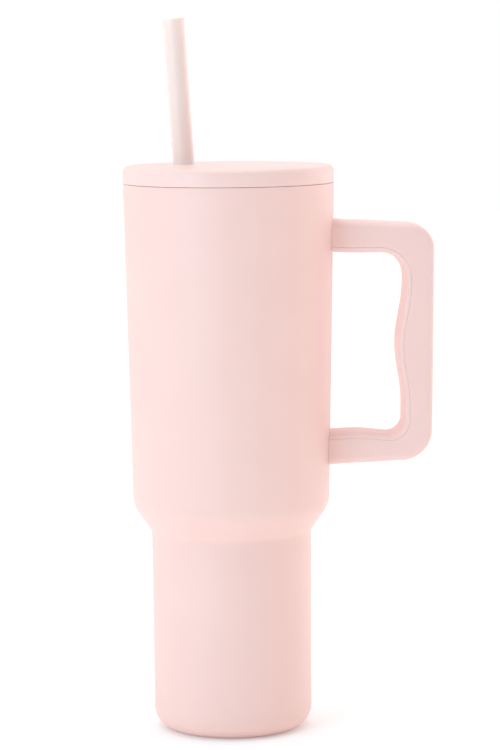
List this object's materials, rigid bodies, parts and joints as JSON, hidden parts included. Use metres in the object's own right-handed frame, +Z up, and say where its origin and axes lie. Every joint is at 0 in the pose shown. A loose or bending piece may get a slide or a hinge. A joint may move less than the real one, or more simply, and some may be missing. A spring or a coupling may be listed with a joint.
{
  "type": "insulated tumbler with lid",
  "caption": "Tall double-walled vacuum tumbler with a cup-holder base, a loop handle on its side, a flush screw-on lid and a drinking straw.",
  "frame": {"origin": "centre of the flat underside of the base, on the tumbler's axis, on the surface it stands on", "axes": "+Z up along the tumbler's axis, +X towards the handle, and +Y across it, to complete a right-handed frame"},
  "size_m": [0.1462, 0.0994, 0.3377],
  "materials": {
    "powder_coat": "satin powder coat, pale blush pink",
    "stainless_steel": "brushed stainless steel",
    "getter_metal": "dull dark grey",
    "handle_plastic": "satin moulded plastic, pale blush pink",
    "soft_grip": "matt soft-touch lining, pale blush pink",
    "lid_plastic": "satin moulded plastic, pale blush pink",
    "silicone": "matt silicone, very pale pink",
    "straw_plastic": "satin pale pink plastic"
  },
  "bodies": {
    "cup": {"outer_shell": "powder_coat", "inner_liner": "stainless_steel", "base_plate": "powder_coat", "base_cover": "stainless_steel", "vacuum_seal_bead": "getter_metal", "getter_clip": "stainless_steel", "getter_pellet": "getter_metal", "handle_frame": "handle_plastic", "grip_lining": "soft_grip", "upper_handle_bracket": "stainless_steel", "lower_handle_bracket": "stainless_steel", "upper_handle_screw": "stainless_steel", "lower_handle_screw": "stainless_steel"},
    "lid_seal": {"lid_gasket": "silicone"},
    "plug_seal": {"plug_o_ring": "silicone"},
    "lid": {"lid_cap": "lid_plastic", "lid_plug": "lid_plastic", "straw_grommet": "silicone"},
    "straw": {"straw": "straw_plastic"}
  },
  "joints": [
    {"name": "lid_lift", "type": "slide", "parent": "cup", "child": "lid_seal", "axis": [0, 0, 1], "range_m": [0, 0.28]},
    {"name": "lid_rise", "type": "slide", "parent": "lid_seal", "child": "plug_seal", "axis": [0, 0, 1], "range_m": [0, 0.0076]},
    {"name": "lid_turn", "type": "hinge", "parent": "plug_seal", "child": "lid", "pos_m": [0, 0, 0.25], "axis": [0, 0, 1], "range_deg": [0, 450]},
    {"name": "straw_slide", "type": "slide", "parent": "lid", "child": "straw", "axis": [-0.0603, 0.0506, 0.9969], "range_m": [0, 0.28]}
  ],
  "couplings": [
    {"joint": "lid_rise", "follows": "lid_turn", "m_per_rad": 0.00095493}
  ]
}
